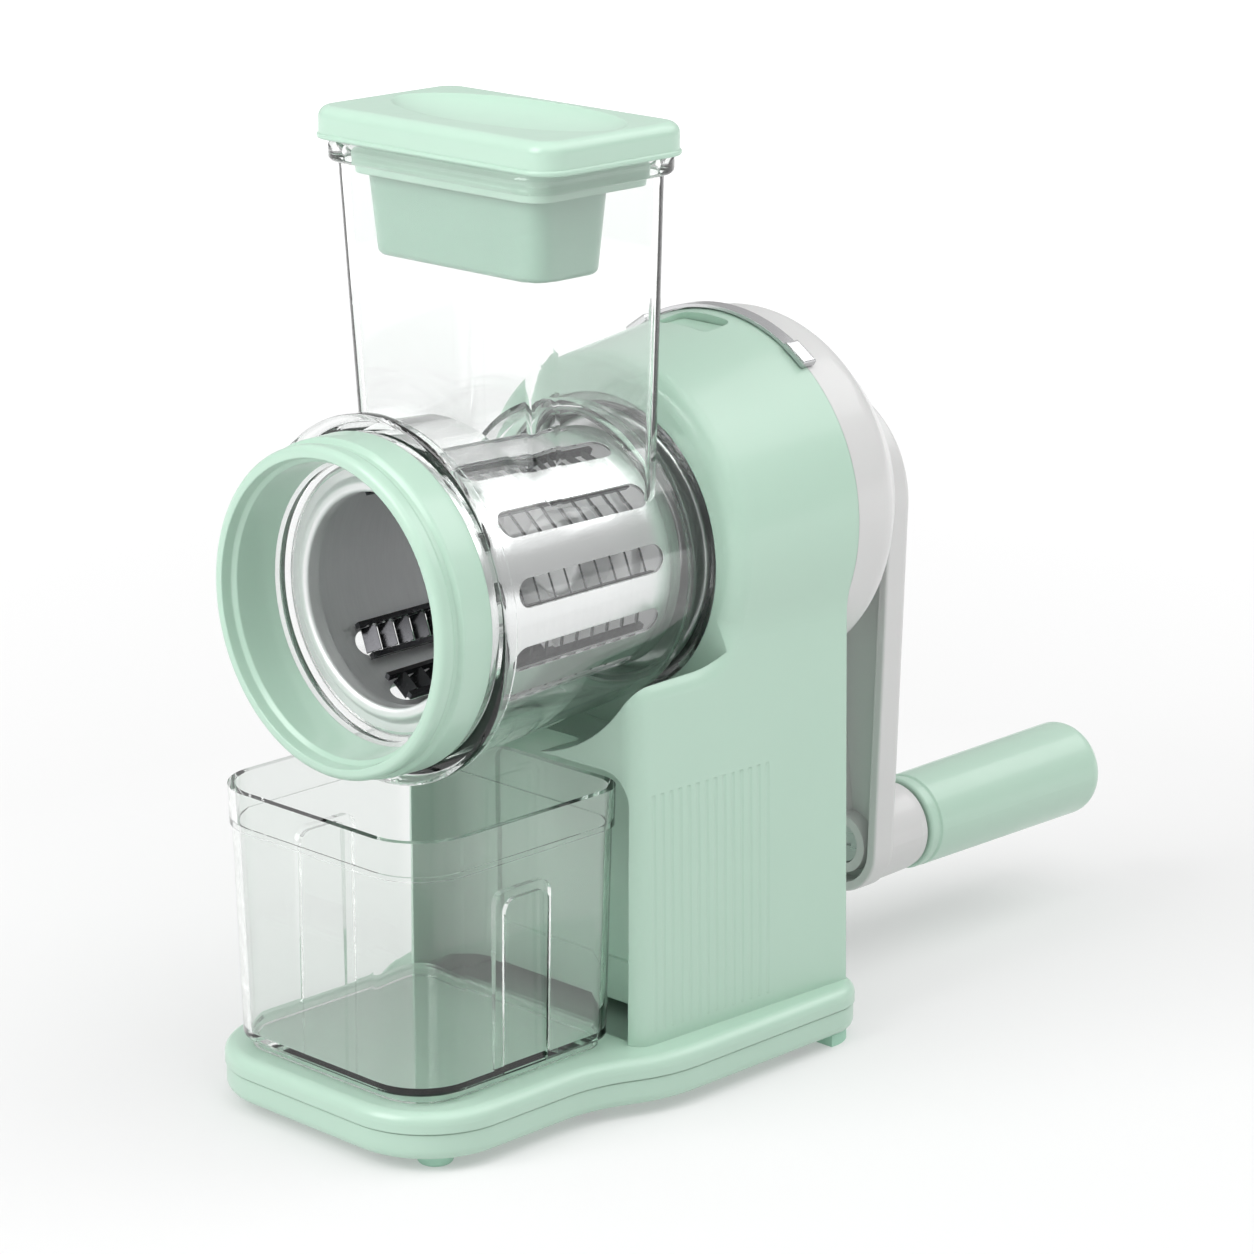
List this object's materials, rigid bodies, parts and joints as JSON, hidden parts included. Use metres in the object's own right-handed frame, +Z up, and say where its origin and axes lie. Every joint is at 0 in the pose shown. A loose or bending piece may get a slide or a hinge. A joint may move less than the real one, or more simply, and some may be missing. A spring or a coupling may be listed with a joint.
{
  "type": "rotary cheese grater",
  "caption": "Table-top hand-cranked drum grater: clear barrel with feed hopper and pusher, slotted steel drum, side crank with turning grip, and a pull-out catch container.",
  "frame": {"origin": "on the table plane under the middle of the machine (centre of its overall footprint)", "axes": "+Z up, +Y from the drum mouth towards the crank grip, +X to the right of someone looking along +Y"},
  "size_m": [0.121, 0.323, 0.2832],
  "materials": {
    "mint_plastic": "satin moulded ABS",
    "white_plastic": "satin moulded ABS",
    "clear_plastic": "clear polished",
    "drum_steel": "satin",
    "plate_steel": "circular brushed",
    "trim_chrome": "polished",
    "shaft_steel": "turned",
    "screw_steel": "zinc plated",
    "spring_steel": "drawn wire",
    "bush_plastic": "self-lubricating",
    "carrier_plastic": "glass filled",
    "foot_rubber": "matt",
    "seal_rubber": "food grade silicone"
  },
  "bodies": {
    "stand": {"main_housing": "mint_plastic", "base_plate": "mint_plastic", "feet": "foot_rubber", "base_screws": "screw_steel", "rear_cover": "white_plastic", "cover_screws": "screw_steel", "trim_band": "trim_chrome", "bearing_carrier": "carrier_plastic", "carrier_screws": "screw_steel", "front_plate": "plate_steel", "front_bush": "bush_plastic", "rear_bush": "bush_plastic", "shaft_seal": "seal_rubber", "spring_seat": "carrier_plastic", "button_spring": "spring_steel"},
    "button": {"release_button": "mint_plastic", "latch_pawl": "carrier_plastic"},
    "barrel": {"barrel_hopper": "clear_plastic"},
    "ring": {"locking_ring": "mint_plastic", "ring_gasket": "seal_rubber"},
    "pusher": {"pusher_lid": "mint_plastic", "pusher_plunger": "mint_plastic"},
    "crank": {"drive_shaft": "shaft_steel", "circlip": "spring_steel", "thrust_washer": "shaft_steel", "drum_shell": "drum_steel", "drum_vanes": "drum_steel", "drum_front_rim": "drum_steel", "drum_hub": "drum_steel", "crank_arm": "white_plastic", "crank_screw": "screw_steel", "crank_cap": "white_plastic", "handle_pin": "shaft_steel", "grip_nut": "screw_steel"},
    "grip": {"grip_sleeve": "mint_plastic", "grip_cap": "mint_plastic"},
    "box": {"container": "clear_plastic"}
  },
  "joints": [
    {"name": "crank_turn", "type": "hinge", "parent": "stand", "child": "crank", "pos_m": [0, 0, 0.1521], "axis": [0, 1, 0], "continuous": true},
    {"name": "grip_spin", "type": "hinge", "parent": "crank", "child": "grip", "pos_m": [0.014, 0.1, 0.0411], "axis": [0, 1, 0], "continuous": true},
    {"name": "barrel_twist", "type": "hinge", "parent": "stand", "child": "barrel", "pos_m": [0, 0, 0.1521], "axis": [0, 1, 0], "range_deg": [0, 40]},
    {"name": "ring_twist", "type": "hinge", "parent": "barrel", "child": "ring", "pos_m": [0, -0.14, 0.1521], "axis": [0, 1, 0], "range_deg": [0, 60]},
    {"name": "pusher_lift", "type": "slide", "parent": "barrel", "child": "pusher", "axis": [0, 0, 1], "range_m": [0, 0.03]},
    {"name": "container_slide", "type": "slide", "parent": "stand", "child": "box", "axis": [0, -1, 0], "range_m": [0, 0.09]},
    {"name": "button_press", "type": "slide", "parent": "stand", "child": "button", "axis": [0, 0, -1], "range_m": [0, 0.003], "stiffness_N_per_m": 500, "springref_m": -0.003, "deforming": ["button_spring"]}
  ]
}
